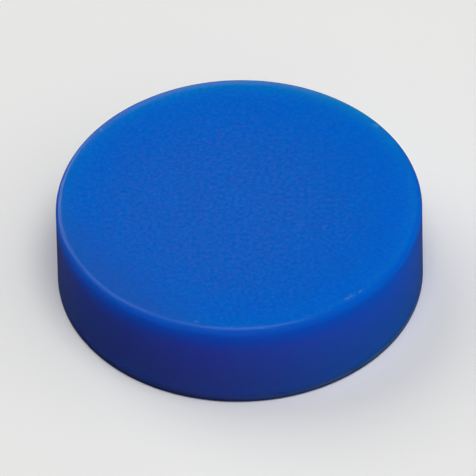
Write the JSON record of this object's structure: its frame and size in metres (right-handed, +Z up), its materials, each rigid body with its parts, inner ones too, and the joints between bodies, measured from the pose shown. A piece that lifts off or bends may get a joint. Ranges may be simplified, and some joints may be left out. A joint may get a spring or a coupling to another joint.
{
  "type": "hockey puck",
  "caption": "Plain round hockey puck: one solid, slightly translucent blue moulded disc with two flat faces, a smooth straight side, a rounded top edge and a crisper bottom edge.",
  "frame": {"origin": "centre of the bottom flat face", "axes": "+Z up through the puck's axis of revolution, from the bottom face to the top face; the puck is alike all round, so X and Y are free"},
  "size_m": [0.0762, 0.0762, 0.0207],
  "materials": {
    "puck_blue": "satin, slightly translucent moulded elastomer"
  },
  "bodies": {
    "root": {"puck_body": "puck_blue"}
  },
  "joints": []
}
